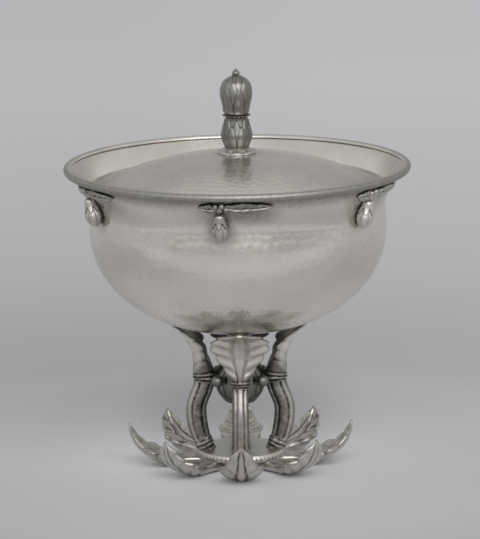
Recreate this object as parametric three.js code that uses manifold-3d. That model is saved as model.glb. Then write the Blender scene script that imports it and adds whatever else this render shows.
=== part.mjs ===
// A silver covered bowl on a stand of four scroll legs, in millimetres, +Z up.
// The origin is on the table under the middle of the bowl. The front leg points along -Y.
import * as THREE from 'three';
import { mergeVertices } from 'three/addons/utils/BufferGeometryUtils.js';
import Module from 'manifold-3d';

const wasm = await Module();
wasm.setup();

// Fits
const solderGap = 0.3; // left between a piece and the curved neighbour that it is soldered to
const boreClearance = 0.2; // round a rod or a screw in its hole
const lidPlay = 0.5; // round the lid's edge, inside the lip
const bezelPlay = 0.5; // round the bezel, inside the seat ring

// Bowl
const sheet = 1.2;
const bellyRadius = 71.2;
const bellyDepth = 52; // from the widest part down to the underside
const bellyFullness = 2.15; // 2 gives an ellipse, more a fuller side
const neckDraw = 0.7; // how far the neck is drawn in from the belly
const neckRise = 8; // belly to neck
const flareReach = 10.2; // neck to lip, outwards
const flareRise = 18; // neck to lip, upwards
const flareStraight = 8; // how far the neck runs up before it turns outwards
const rimWireRadius = 1.8;

// Lid
const lidSheet = 1.1;
const seatRise = 8.5; // the lid's seat above the neck
const seatLand = 3.2;
const seatDepth = 3.6;
const lidWireWidth = 2.1;
const lidWireHeight = 2.9;
const lidLedge = 1.4; // the ledge inside the lid's wire, on which the dome stands
const domeRise = 16.5;
const bezelThickness = 1.1;
const bezelDrop = 7.2;

// Finial
const finialBaseRadius = 9.4;
const finialBaseHeight = 3.2;
const lowerBudRadius = 7.5;
const lowerBudHeight = 14.2;
const finialNeckRadius = 5.6;
const collarRadius = 6.8;
const collarHeight = 1.8;
const upperBudRadius = 7.8;
const upperBudHeight = 18;
const tipRadius = 1.9;
const screwRadius = 1.9;
const screwGrip = 9; // length of screw inside the upper bud
const washerRadius = 5.2;
const washerThickness = 0.8;
const nutFlats = 7;
const nutHeight = 2.8;
const threadEnd = 1; // what stands out past a nut

// Ornament under the lip
const sprayCount = 6;
const sprayTurn = -6.5; // degrees from the front leg round to the first bud
const sprayDrop = 4.9; // from the lip's edge down to the middle of the spray
const longLeaf = 26;
const shortLeaf = 10;
const leafHalfHeight = 4.6;
const leafRelief = 2.8;
const budRadius = 4.4;
const budLength = 14.5;

// Stand
const standHeight = 66.5; // table to the bowl's underside
const padThickness = 5; // table to the base disc, at the feet
const discThickness = 3.5;
const discBorder = 1; // base disc outside the legs
const legWidth = 8;
const legDepth = 10;
const ankleRadius = 16.5;
const ankleDepth = 8;
const bulgeRadius = 21.4;
const bulgeHeight = 18.6; // above the base disc
const waistRadius = 17.2;
const waistHeight = 35; // above the base disc
const leafReach = 34.5; // from the axis to the tip of a leg's leaf
const leafWidth = 32;
const leafDepth = 3.6;
const knopHeight = 21;
const knopDrop = 1.5; // from the waist down to the knop's middle
const beadRadius = 3;
const footTipReach = 53.5;
const footTipHeight = 21;
const footHeel = 9.5;
const footContact = 27; // where a foot starts to rise
const footWidth = 22;
const footHeelWidth = 9;
const footDepth = 5.6;
const leafCup = 0.02; // how fast a base leaf's edges rise, per mm from its middle and per mm
const betweenHeel = 14; // the smaller leaves between the feet
const betweenScale = 0.95;
const betweenLift = 0.5; // above the table

// Centre rod
const rodRadius = 2.4;
const bossRadius = 8.5;
const bossHeight = 7;
const bossSkin = 2.5;
const rodWasherRadius = 6;
const rodWasherThickness = 0.8;
const rodNutFlats = 8;
const rodNutHeight = 2.6;

// Fineness of the faceted surfaces
const ringFacets = 48;
const smallFacets = 20;
const boreFacets = 14;
const budFacets = 12;
const bellySteps = 8;
const flareSteps = 5;
const domeSteps = 5;
const budSteps = 8; // along the outline of a bud or a knop
const mouldingSteps = 4; // along the outline of a small moulding
const sprayRings = 15;
const legRings = 27;
const footRings = 17;
const sectionFacets = 10; // round a leg or a foot
const nearlyNothing = 0.001;

// Heights above the table that follow from the sizes
const discBottom = padThickness;
const discTop = discBottom + discThickness;
const bulgeZ = discTop + bulgeHeight;
const waistZ = discTop + waistHeight;
const bellyZ = standHeight + bellyDepth;
const neckZ = bellyZ + neckRise;
const lipZ = neckZ + flareRise;
const seatZ = neckZ + seatRise;
const ledgeZ = seatZ + lidLedge;

const neckRadius = bellyRadius - neckDraw;
const lipRadius = neckRadius + flareReach;

const frontAngle = -90; // degrees from +X
const sideAngles = { front: frontAngle, right: 0, back: 90, left: 180 };

const at = (radius, height) => new THREE.Vector2(radius, height);
const degrees = THREE.MathUtils.degToRad;

// Silver finishes
const silver = (color, roughness) => new THREE.MeshStandardMaterial({ color, roughness, metalness: 1 });
const hammered = silver(0xc9c5bd, 0.32);
const polished = silver(0xcfccc6, 0.2);
const cast = silver(0x8d8a85, 0.38);
const oxidised = silver(0x6a6864, 0.45);
const steel = silver(0x9a9a9c, 0.3);

const part = new THREE.Group();
const bowl = new THREE.Group();
const lid = new THREE.Group();
const stand = new THREE.Group();
part.add(bowl, lid, stand);

function add(group, name, geometry, material, turn = 0) {
  const mesh = new THREE.Mesh(geometry, material);
  mesh.name = name;
  mesh.rotation.z = turn;
  group.add(mesh);
  return mesh;
}

// One closed surface: shared corners merged, empty triangles dropped, faces turned outwards.
function closed(geometry) {
  geometry.deleteAttribute('normal');
  geometry.deleteAttribute('uv');
  const merged = mergeVertices(geometry, nearlyNothing);
  const corners = merged.index.array;
  const a = new THREE.Vector3();
  const b = new THREE.Vector3();
  const c = new THREE.Vector3();
  const kept = [];
  let volume = 0;
  for (let i = 0; i < corners.length; i += 3) {
    const [p, q, r] = corners.subarray(i, i + 3);
    if (p === q || q === r || r === p) continue;
    a.fromBufferAttribute(merged.attributes.position, p);
    b.fromBufferAttribute(merged.attributes.position, q);
    c.fromBufferAttribute(merged.attributes.position, r);
    volume += a.dot(b.cross(c));
    kept.push(p, q, r);
  }
  merged.setIndex(volume < 0 ? kept.reverse() : kept);
  return merged;
}

function toSolid(geometry) {
  const { index, attributes } = closed(geometry);
  return new wasm.Manifold(
    new wasm.Mesh({
      numProp: 3,
      vertProperties: new Float32Array(attributes.position.array),
      triVerts: new Uint32Array(index.array),
    }),
  );
}

function toGeometry(solid) {
  const { vertProperties, triVerts } = solid.getMesh();
  const geometry = new THREE.BufferGeometry();
  geometry.setAttribute('position', new THREE.BufferAttribute(new Float32Array(vertProperties), 3));
  geometry.setIndex([...triVerts]);
  return geometry;
}

function cut(geometry, ...tools) {
  return toGeometry(tools.reduce((solid, tool) => solid.subtract(toSolid(tool)), toSolid(geometry)));
}

// Turns an outline of (radius, height) points about the Z axis. A ring's outline is closed here.
function turned(outline, facets = ringFacets) {
  const points = [...outline];
  const onAxis = (point) => point.x < nearlyNothing;
  if (!onAxis(points[0]) || !onAxis(points.at(-1))) points.push(points[0].clone());
  return closed(new THREE.LatheGeometry(points, facets).rotateX(Math.PI / 2));
}

// Joins rings of points, each ring a closed loop, and ends the solid in a point at each side.
function loft(rings, firstEnd, lastEnd) {
  const around = rings[0].length;
  const positions = [firstEnd, ...rings.flat(), lastEnd].flatMap((p) => [p.x, p.y, p.z]);
  const last = rings.length * around + 1;
  const corner = (ring, k) => 1 + ring * around + (k % around);
  const triangles = [];
  for (let k = 0; k < around; k += 1) {
    triangles.push(0, corner(0, k + 1), corner(0, k));
    for (let ring = 0; ring + 1 < rings.length; ring += 1) {
      const [p, q] = [corner(ring, k), corner(ring, k + 1)];
      const [r, s] = [corner(ring + 1, k), corner(ring + 1, k + 1)];
      triangles.push(p, q, r, q, s, r);
    }
    triangles.push(last, corner(rings.length - 1, k), corner(rings.length - 1, k + 1));
  }
  const geometry = new THREE.BufferGeometry();
  geometry.setAttribute('position', new THREE.Float32BufferAttribute(positions, 3));
  geometry.setIndex(triangles);
  return closed(geometry);
}

// A value that runs smoothly through [place, value] pairs in order of place.
function through(pairs, place) {
  const next = pairs.findIndex(([p]) => p >= place);
  if (next === -1) return pairs.at(-1)[1];
  if (next === 0) return pairs[0][1];
  const [p0, v0] = pairs[next - 1];
  const [p1, v1] = pairs[next];
  return THREE.MathUtils.lerp(v0, v1, THREE.MathUtils.smoothstep(place, p0, p1));
}

const spline = (points, steps) => new THREE.SplineCurve(points).getPoints(steps);

// The bowl's outside, from the axis out to the lip
const flareCurve = new THREE.QuadraticBezierCurve(
  at(neckRadius, neckZ),
  at(neckRadius, neckZ + flareStraight),
  at(lipRadius, lipZ),
);

function bellyOutline() {
  const points = [];
  for (let step = 0; step <= bellySteps; step += 1) {
    const turn = (step / bellySteps) * (Math.PI / 2);
    points.push(
      at(
        bellyRadius * Math.sin(turn) ** (2 / bellyFullness),
        bellyZ - bellyDepth * Math.max(Math.cos(turn), 0) ** (2 / bellyFullness),
      ),
    );
  }
  return points;
}

const bowlOutside = [...bellyOutline(), ...flareCurve.getPoints(flareSteps)];

// The outline moved along its normals, inwards where the distance is positive
function offset(outline, distance) {
  return outline.map((point, i) => {
    const along = outline[Math.min(i + 1, outline.length - 1)].clone().sub(outline[Math.max(i - 1, 0)]);
    if (i === 0) along.set(1, 0);
    along.normalize();
    return at(Math.max(point.x - along.y * distance, 0), point.y + along.x * distance);
  });
}

const bowlInside = offset(bowlOutside, sheet);

// Radius of the bowl's inside at a height
function insideRadius(height) {
  const next = bowlInside.findIndex((point) => point.y >= height);
  const [low, high] = [bowlInside[next - 1], bowlInside[next]];
  return THREE.MathUtils.mapLinear(height, low.y, high.y, low.x, high.x);
}

// Height of the bowl's underside at a radius
function undersideHeight(radius) {
  const share = 1 - (radius / bellyRadius) ** bellyFullness;
  return bellyZ - bellyDepth * share ** (1 / bellyFullness);
}

// The space of the bowl with its solder gap, which its fitted neighbours are cut back from
function bowlSpace() {
  const outline = offset(bowlOutside, -solderGap);
  return turned([...outline, at(0, lipZ + solderGap)]);
}

function bowlShell() {
  return turned([...bowlOutside, ...bowlInside.toReversed()]);
}

// Half-round wire along the end of the lip
function rimWire() {
  const wireSteps = 7;
  const flatShare = 0.45; // how far the flat against the sheet lies from the wire's middle
  const outwards = flareCurve.getTangent(1);
  const acrossLip = at(-outwards.y, outwards.x);
  const middle = at(lipRadius, lipZ)
    .addScaledVector(acrossLip, sheet / 2)
    .addScaledVector(outwards, solderGap + rimWireRadius * flatShare);
  const opening = Math.acos(flatShare);
  const points = [];
  for (let step = 0; step <= wireSteps; step += 1) {
    const turn = Math.PI + opening + (step / wireSteps) * 2 * (Math.PI - opening);
    points.push(
      middle
        .clone()
        .addScaledVector(outwards, rimWireRadius * Math.cos(turn))
        .addScaledVector(acrossLip, rimWireRadius * Math.sin(turn)),
    );
  }
  return turned(points);
}

// Lid seat and the radii that follow from it
const seatOuter = insideRadius(seatZ) - solderGap;
const seatInner = seatOuter - seatLand;
const lidOuter = seatOuter - lidPlay;
const bezelOuter = seatInner - bezelPlay;
const bezelInner = bezelOuter - bezelThickness;
const domeOuter = lidOuter - lidWireWidth - solderGap;

function lidSeat() {
  const lowInner = seatZ - seatDepth / 2;
  const lowOuter = seatZ - seatDepth;
  return turned([
    at(seatInner, seatZ),
    at(seatInner, lowInner),
    at(insideRadius(lowOuter) - solderGap, lowOuter),
    at(insideRadius(lowInner) - solderGap, lowInner),
    at(seatOuter, seatZ),
  ]);
}

function lidWire() {
  const ease = lidWireWidth / 4;
  const bead = new THREE.CubicBezierCurve(
    at(lidOuter, seatZ + lidLedge / 2),
    at(lidOuter, seatZ + lidWireHeight),
    at(lidOuter - ease, seatZ + lidWireHeight),
    at(lidOuter - lidWireWidth, seatZ + lidWireHeight),
  );
  return turned([
    at(bezelInner, seatZ),
    at(lidOuter - ease, seatZ),
    ...bead.getPoints(mouldingSteps),
    at(lidOuter - lidWireWidth, ledgeZ),
    at(bezelInner, ledgeZ),
  ]);
}

function lidBezel() {
  const foot = seatZ - bezelDrop;
  return turned([
    at(bezelInner, foot),
    at(bezelOuter, foot),
    at(bezelOuter, seatZ),
    at(bezelInner, seatZ),
  ]);
}

// The dome is an arc, flattened under the finial
const domeCurve = (domeOuter ** 2 + domeRise ** 2) / (2 * domeRise);
const domeCentre = ledgeZ + domeRise - domeCurve;
const finialSeatRadius = finialBaseRadius + solderGap;
const finialSeatZ = domeCentre + Math.sqrt(domeCurve ** 2 - finialSeatRadius ** 2);
const screwBore = screwRadius + boreClearance;

function domeArc(curve, fromRadius, toRadius) {
  const points = [];
  for (let step = 0; step <= domeSteps; step += 1) {
    const radius = THREE.MathUtils.lerp(fromRadius, toRadius, step / domeSteps);
    points.push(at(radius, domeCentre + Math.sqrt(curve ** 2 - radius ** 2)));
  }
  return points;
}

function lidDome() {
  const innerCurve = domeCurve - lidSheet;
  const innerEdge = Math.sqrt(innerCurve ** 2 - (ledgeZ - domeCentre) ** 2);
  const innerSeatZ = finialSeatZ - lidSheet;
  const innerSeatRadius = Math.sqrt(innerCurve ** 2 - (innerSeatZ - domeCentre) ** 2);
  return turned([
    at(screwBore, finialSeatZ),
    ...domeArc(domeCurve, finialSeatRadius, domeOuter),
    ...domeArc(innerCurve, innerEdge, innerSeatRadius),
    at(screwBore, innerSeatZ),
  ]);
}

// The finial, from the dome upwards
const lowerBudThroat = lowerBudRadius * 0.7; // where the bud grows out of the base
const lowerBudZ = finialSeatZ + finialBaseHeight;
const collarZ = lowerBudZ + lowerBudHeight;
const upperBudZ = collarZ + collarHeight;
const tipZ = upperBudZ + upperBudHeight;
const screwTop = upperBudZ + screwGrip;
const washerZ = finialSeatZ - lidSheet - washerThickness;
const nutZ = washerZ - nutHeight;

// A turned piece with a bore right through it
function bored(outline, bore, facets = smallFacets) {
  return turned([at(bore, outline[0].y), ...outline, at(bore, outline.at(-1).y)], facets);
}

function washer(radius, bore, low, thickness) {
  return bored([at(radius, low), at(radius, low + thickness)], bore);
}

function rod(radius, low, high) {
  return closed(
    new THREE.CylinderGeometry(radius, radius, high - low, boreFacets)
      .rotateX(Math.PI / 2)
      .translate(0, 0, (low + high) / 2),
  );
}

function hexNut(flats, bore, low, height) {
  const outline = new THREE.Shape();
  for (let corner = 0; corner < 6; corner += 1) {
    const turn = (corner / 6) * 2 * Math.PI;
    const reach = flats / 2 / Math.cos(Math.PI / 6);
    outline[corner ? 'lineTo' : 'moveTo'](reach * Math.cos(turn), reach * Math.sin(turn));
  }
  outline.closePath();
  outline.holes.push(new THREE.Path().absarc(0, 0, bore, 0, 2 * Math.PI, true));
  const shape = new THREE.ExtrudeGeometry(outline, {
    depth: height,
    bevelEnabled: false,
    curveSegments: boreFacets / 2,
  });
  return closed(shape.translate(0, 0, low));
}

function finialBase() {
  const up = (share) => finialSeatZ + share * finialBaseHeight;
  const eased = finialBaseRadius * 0.96;
  const slope = [
    at(eased, up(0.4)),
    at((finialBaseRadius + lowerBudThroat) / 2, up(0.6)),
    at(lowerBudThroat, up(1)),
  ];
  return bored(
    [at(eased, up(0)), at(finialBaseRadius, up(0.2)), ...spline(slope, mouldingSteps)],
    screwBore,
  );
}

function lowerBud() {
  const up = (share) => lowerBudZ + share * lowerBudHeight;
  const outline = [
    at(lowerBudThroat, up(0)),
    at(lowerBudRadius, up(0.34)),
    at(lowerBudRadius * 0.88, up(0.6)),
    at(finialNeckRadius, up(0.9)),
    at(finialNeckRadius, up(1)),
  ];
  return bored(spline(outline, budSteps), screwBore);
}

function finialCollar() {
  const middle = collarZ + collarHeight / 2;
  const rounded = at(collarRadius, middle);
  return bored(
    spline([at(finialNeckRadius, collarZ), rounded, at(finialNeckRadius, upperBudZ)], mouldingSteps),
    screwBore,
  );
}

function upperBud() {
  const up = (share) => upperBudZ + share * upperBudHeight;
  const outline = [
    at(finialNeckRadius, up(0)),
    at(upperBudRadius * 0.84, up(0.22)),
    at(upperBudRadius, up(0.52)),
    at(upperBudRadius * 0.84, up(0.82)),
    at(tipRadius, up(1)),
  ];
  return turned(
    [
      at(0, screwTop + boreClearance),
      at(screwBore, screwTop + boreClearance),
      at(screwBore, upperBudZ),
      ...spline(outline, budSteps),
      at(0, tipZ),
    ],
    smallFacets,
  );
}

function finialTip() {
  const outline = [
    at(tipRadius * 0.7, tipZ),
    at(tipRadius, tipZ + tipRadius * 0.7),
    at(tipRadius * 0.5, tipZ + tipRadius * 1.4),
    at(0, tipZ + tipRadius * 1.8),
  ];
  return turned([at(0, tipZ), ...spline(outline, mouldingSteps)], boreFacets);
}

// A leaf spray that lies on the flare, drawn by the distance along the lip and below it
function leafSpray() {
  const tipHalfHeight = 0.45;
  const beyond = 0.4; // length of the point past the last ring
  const across = [-1, -0.6, 0, 0.6, 1];
  const relief = [0.25, 0.75, 1, 0.75, 0.25];
  const height = [
    [-shortLeaf, tipHalfHeight],
    [-shortLeaf * 0.45, leafHalfHeight * 0.85],
    [0, leafHalfHeight * 0.5],
    [longLeaf * 0.35, leafHalfHeight],
    [longLeaf * 0.75, leafHalfHeight * 0.5],
    [longLeaf, tipHalfHeight],
  ];
  const onFlare = (along, below, above) => {
    const place = 1 - below / flareCurve.getLength();
    const base = flareCurve.getPointAt(place);
    const upwards = flareCurve.getTangentAt(place);
    const radius = base.x + upwards.y * above;
    const turn = along / base.x;
    return new THREE.Vector3(
      radius * Math.cos(turn),
      radius * Math.sin(turn),
      base.y - upwards.x * above,
    );
  };
  const rings = [];
  for (let ring = 0; ring < sprayRings; ring += 1) {
    const along = THREE.MathUtils.lerp(-shortLeaf, longLeaf, ring / (sprayRings - 1));
    const half = through(height, along);
    const thickness = solderGap + leafRelief * (half / leafHalfHeight) ** 0.5;
    const outer = across.map((share, k) =>
      onFlare(along, sprayDrop - share * half, THREE.MathUtils.lerp(solderGap, thickness, relief[k])),
    );
    const back = across.toReversed().map((share) => onFlare(along, sprayDrop - share * half, solderGap));
    rings.push([...outer, ...back.slice(1, -1)]);
  }
  const firstEnd = onFlare(-shortLeaf - beyond, sprayDrop, solderGap * 2);
  const lastEnd = onFlare(longLeaf + beyond, sprayDrop, solderGap * 2);
  return loft(rings, firstEnd, lastEnd);
}

// A bud that hangs under the spray and lies against the neck
function hangingBud() {
  const upperEnd = flareCurve.getPointAt(1 - (sprayDrop + leafHalfHeight) / flareCurve.getLength());
  const outline = [
    at(0, 0),
    at(budRadius * 0.45, -budLength * 0.08),
    at(budRadius * 0.62, -budLength * 0.25),
    at(budRadius, -budLength * 0.6),
    at(budRadius * 0.62, -budLength * 0.88),
    at(0, -budLength),
  ];
  const lean = Math.atan2(upperEnd.x - neckRadius, budLength);
  const standOff = budRadius * 0.45; // from the sheet to the bud's upper end
  const bud = turned(spline(outline, budSteps), budFacets)
    .rotateY(lean)
    .translate(upperEnd.x + standOff, 0, upperEnd.y);
  return cut(bud, bowlSpace());
}

// The stand's radii that follow from its sizes
const discRadius = ankleRadius + ankleDepth / 2 + discBorder;
const knopRadius = waistRadius - legDepth / 2 - solderGap;
const rodBore = rodRadius + boreClearance;

// Bends a wide section round the Z axis: across is measured along the arc at that radius
function wrapped(radius, across, height) {
  const turn = across / radius;
  return new THREE.Vector3(radius * Math.cos(turn), radius * Math.sin(turn), height);
}

// Lifts a wide section's edges
const cupped = (radius, across, height) =>
  new THREE.Vector3(radius, across, height + leafCup * across * across);

// Sweeps a soft-cornered section along a path in the plane of the radius and the height
function sweepSection(path, ringCount, width, depth, place) {
  const softness = 2 / 2.6;
  const rounded = (value) => Math.sign(value) * Math.abs(value) ** softness;
  const rings = [];
  for (let ring = 0; ring < ringCount; ring += 1) {
    const along = ring / (ringCount - 1);
    const middle = path.getPointAt(along);
    const forward = path.getTangentAt(along);
    const points = [];
    for (let k = 0; k < sectionFacets; k += 1) {
      const turn = ((k + 0.5) / sectionFacets) * 2 * Math.PI;
      const out = (rounded(Math.cos(turn)) * through(depth, along)) / 2;
      const across = (rounded(Math.sin(turn)) * through(width, along)) / 2;
      points.push(place(middle.x + forward.y * out, across, middle.y - forward.x * out));
    }
    rings.push(points);
  }
  const [first, last] = [path.getPointAt(0), path.getPointAt(1)];
  return loft(rings, place(first.x, 0, first.y), place(last.x, 0, last.y));
}

// Everything under a height, as a cutting tool
function below(height) {
  const reach = 4 * bellyRadius;
  return new THREE.BoxGeometry(reach, reach, standHeight).translate(0, 0, height - standHeight / 2);
}

// An S-shaped leg on +X, from the base disc up to a leaf that lies under the bowl
function leg() {
  const sunk = 2; // length below the disc's top that the flat cut takes off
  const leafTipZ = undersideHeight(leafReach) - leafDepth / 4 - solderGap;
  const slope = undersideHeight(leafReach) - undersideHeight(leafReach - 1);
  const path = new THREE.CurvePath();
  const ankle = at(ankleRadius - sunk / 2, discTop - sunk);
  const bulge = at(bulgeRadius, bulgeZ);
  const waist = at(waistRadius, waistZ);
  const tip = at(leafReach, leafTipZ);
  const lowerRun = (bulgeHeight * 2) / 5;
  const middleRun = ((waistZ - bulgeZ) * 2) / 5;
  const upperRun = (leafTipZ - waistZ) / 4;
  const leafRun = (leafReach - waistRadius) * 0.66;
  path.add(
    new THREE.CubicBezierCurve(
      ankle,
      at(ankleRadius + lowerRun / 3, discTop + lowerRun / 2),
      at(bulgeRadius, bulgeZ - lowerRun),
      bulge,
    ),
  );
  path.add(
    new THREE.CubicBezierCurve(
      bulge,
      at(bulgeRadius, bulgeZ + middleRun),
      at(waistRadius, waistZ - middleRun),
      waist,
    ),
  );
  path.add(
    new THREE.CubicBezierCurve(
      waist,
      at(waistRadius, waistZ + upperRun),
      at(leafReach - leafRun, leafTipZ - leafRun * slope),
      tip,
    ),
  );
  const width = [
    [0, legWidth],
    [0.52, legWidth],
    [0.82, leafWidth],
    [0.92, leafWidth * 0.75],
    [1, leafWidth * 0.1],
  ];
  const depth = [
    [0, ankleDepth],
    [0.25, legDepth],
    [0.55, legDepth],
    [0.76, leafDepth],
    [1, leafDepth * 0.4],
  ];
  return cut(sweepSection(path, legRings, width, depth, wrapped), bowlSpace(), below(discTop));
}

// A cupped leaf on +X: its heel lies under the base disc and its tip curls up
function baseLeaf(heel, scale, lift) {
  const padSink = 0.3; // what the flat pad takes off a foot's underside
  const middleZ = footDepth / 2 - padSink + lift;
  const reach = footTipReach * scale;
  const tipHeight = footTipHeight * scale;
  const widest = footWidth * scale;
  const run = reach - footContact;
  const path = new THREE.CurvePath();
  path.add(new THREE.LineCurve(at(heel, middleZ), at(footContact, middleZ)));
  path.add(
    new THREE.CubicBezierCurve(
      at(footContact, middleZ),
      at(footContact + run * 0.5, middleZ),
      at(reach - run * 0.09, tipHeight * 0.4),
      at(reach, tipHeight),
    ),
  );
  const width = [
    [0, footHeelWidth],
    [0.28, footHeelWidth * 1.1],
    [0.6, widest],
    [0.85, widest * 0.6],
    [1, widest * 0.1],
  ];
  const depth = [
    [0, footDepth],
    [0.45, footDepth],
    [0.75, footDepth * 0.65],
    [1, footDepth * 0.18],
  ];
  const discSpace = new THREE.CylinderGeometry(
    discRadius + solderGap,
    discRadius + solderGap,
    standHeight,
    ringFacets,
  )
    .rotateX(Math.PI / 2)
    .translate(0, 0, discBottom + standHeight / 2);
  return cut(sweepSection(path, footRings, width, depth, cupped), below(0), discSpace);
}

function waistKnop() {
  const low = waistZ - knopDrop - knopHeight / 2;
  const end = (knopRadius + rodBore) / 2;
  const up = (share) => low + share * knopHeight;
  const shoulder = knopRadius * 0.92;
  const outline = [
    at(end, up(0)),
    at(shoulder, up(0.22)),
    at(knopRadius, up(0.5)),
    at(shoulder, up(0.78)),
    at(end, up(1)),
  ];
  return bored(spline(outline, budSteps), rodBore);
}

function waistBead() {
  return closed(
    new THREE.SphereGeometry(beadRadius, budFacets, budSteps)
      .rotateX(Math.PI / 2)
      .translate(knopRadius + solderGap + beadRadius, 0, waistZ),
  );
}

function baseDisc() {
  const chamfer = discThickness / 5;
  return bored(
    [
      at(discRadius - chamfer, discBottom),
      at(discRadius, discBottom + chamfer),
      at(discRadius, discTop - chamfer),
      at(discRadius - chamfer, discTop),
    ],
    rodBore,
    ringFacets,
  );
}

function bowlBoss() {
  const low = standHeight - bossHeight;
  const blindEnd = standHeight - bossSkin;
  const waist = (bossRadius + rodBore) / 2;
  const side = [at(waist, low), at(waist, low + bossHeight / 2), at(bossRadius, standHeight)];
  return turned(
    [
      at(0, blindEnd),
      at(rodBore, blindEnd),
      at(rodBore, low),
      ...spline(side, mouldingSteps),
      at(0, standHeight),
    ],
    smallFacets,
  );
}

const rodWasherZ = discBottom - rodWasherThickness;
const rodNutZ = rodWasherZ - rodNutHeight;

add(bowl, 'bowl_shell', bowlShell(), hammered);
add(bowl, 'rim_wire', rimWire(), polished);
add(bowl, 'lid_seat', lidSeat(), polished);
for (let k = 0; k < sprayCount; k += 1) {
  const turn = degrees(frontAngle + sprayTurn + (360 / sprayCount) * k);
  add(bowl, `rim_leaf_${k + 1}`, leafSpray(), oxidised, turn);
  add(bowl, `rim_bud_${k + 1}`, hangingBud(), oxidised, turn);
}

add(lid, 'lid_dome', lidDome(), hammered);
add(lid, 'lid_wire', lidWire(), polished);
add(lid, 'lid_bezel', lidBezel(), polished);
add(lid, 'finial_base', finialBase(), cast);
add(lid, 'finial_lower_bud', lowerBud(), cast);
add(lid, 'finial_collar', finialCollar(), cast);
add(lid, 'finial_upper_bud', upperBud(), cast);
add(lid, 'finial_tip', finialTip(), cast);
add(lid, 'finial_screw', rod(screwRadius, nutZ - threadEnd, screwTop), steel);
add(lid, 'finial_washer', washer(washerRadius, screwBore, washerZ, washerThickness), steel);
add(lid, 'finial_nut', hexNut(nutFlats, screwBore, nutZ, nutHeight), steel);

for (const [side, angle] of Object.entries(sideAngles)) {
  add(stand, `leg_${side}`, leg(), oxidised, degrees(angle));
  add(stand, `foot_${side}`, baseLeaf(footHeel, 1, 0), cast, degrees(angle));
}
const betweenLegs = 360 / Object.keys(sideAngles).length;
for (const [k, angle] of Object.values(sideAngles).entries()) {
  const between = degrees(angle + betweenLegs / 2);
  add(stand, `waist_bead_${k + 1}`, waistBead(), oxidised, between);
  add(stand, `base_leaf_${k + 1}`, baseLeaf(betweenHeel, betweenScale, betweenLift), cast, between);
}
add(stand, 'waist_knop', waistKnop(), oxidised);
add(stand, 'base_disc', baseDisc(), cast);
add(stand, 'bowl_boss', bowlBoss(), cast);
add(stand, 'centre_rod', rod(rodRadius, rodNutZ - threadEnd, standHeight - bossSkin - boreClearance), steel);
add(stand, 'rod_washer', washer(rodWasherRadius, rodBore, rodWasherZ, rodWasherThickness), steel);
add(stand, 'rod_nut', hexNut(rodNutFlats, rodBore, rodNutZ, rodNutHeight), steel);

export default part;
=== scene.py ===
import math

import bmesh
import bpy
import numpy as np
from mathutils import Matrix, Vector, kdtree


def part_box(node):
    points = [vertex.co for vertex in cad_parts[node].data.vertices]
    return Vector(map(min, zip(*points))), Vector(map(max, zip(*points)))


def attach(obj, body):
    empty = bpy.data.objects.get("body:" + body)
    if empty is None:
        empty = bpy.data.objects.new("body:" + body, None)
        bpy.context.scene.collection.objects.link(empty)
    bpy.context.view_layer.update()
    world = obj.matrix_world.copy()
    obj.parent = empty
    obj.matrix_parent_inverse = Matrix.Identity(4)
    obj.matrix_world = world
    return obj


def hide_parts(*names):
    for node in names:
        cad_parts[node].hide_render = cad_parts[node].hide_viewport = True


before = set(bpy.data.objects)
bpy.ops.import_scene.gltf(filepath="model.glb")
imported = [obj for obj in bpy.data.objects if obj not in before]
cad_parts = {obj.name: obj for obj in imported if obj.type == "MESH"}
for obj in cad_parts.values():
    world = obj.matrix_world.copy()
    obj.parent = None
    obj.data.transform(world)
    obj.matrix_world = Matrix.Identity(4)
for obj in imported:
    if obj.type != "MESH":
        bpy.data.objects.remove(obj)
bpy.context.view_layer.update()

MM = 0.001
TAU = 2 * math.pi


def extent(node):
    """Lowest and highest corner of a CAD node, in millimetres."""
    low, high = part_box(node)
    return np.array(low) / MM, np.array(high) / MM


# Fits and edges
SOLDER_GAP = 0.3
BORE_CLEARANCE = 0.2
EDGE_EASE = 0.3
SHARP_ANGLE = 50

# Fineness of the meshes
SHEET_COLUMNS = 480
RING_COLUMNS = 360
FASTENER_COLUMNS = 96
POLE_RADIUS = 0.4

# Bowl
SHEET = 1.2
BELLY_RADIUS = 71.2
BELLY_DEPTH = 52
BELLY_FULLNESS = 2.15
NECK_DRAW = 0.7
NECK_RISE = 8
FLARE_REACH = 10.2
FLARE_RISE = 18
FLARE_STRAIGHT = 8
RIM_WIRE_RADIUS = 1.8
RIM_WIRE_FLAT = 0.45

UNDERSIDE = extent("bowl_shell")[0][2]
BELLY_Z = UNDERSIDE + BELLY_DEPTH
NECK_RADIUS = BELLY_RADIUS - NECK_DRAW
NECK_Z = BELLY_Z + NECK_RISE
LIP_RADIUS = NECK_RADIUS + FLARE_REACH
LIP_Z = NECK_Z + FLARE_RISE

# Hammer marks, each (spacing, depth)
OUTER_BLOWS = (4.6, 0.09)
INNER_BLOWS = (6.5, 0.05)

# Fasteners
SCREW_RADIUS = extent("finial_screw")[1][1]
SCREW_BORE = SCREW_RADIUS + BORE_CLEARANCE
ROD_RADIUS = extent("centre_rod")[1][1]
ROD_BORE = ROD_RADIUS + BORE_CLEARANCE
THREAD_PITCH = 0.8
THREAD_DEPTH = THREAD_PITCH * 0.24
NUT_CHAMFER = 0.5

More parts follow.
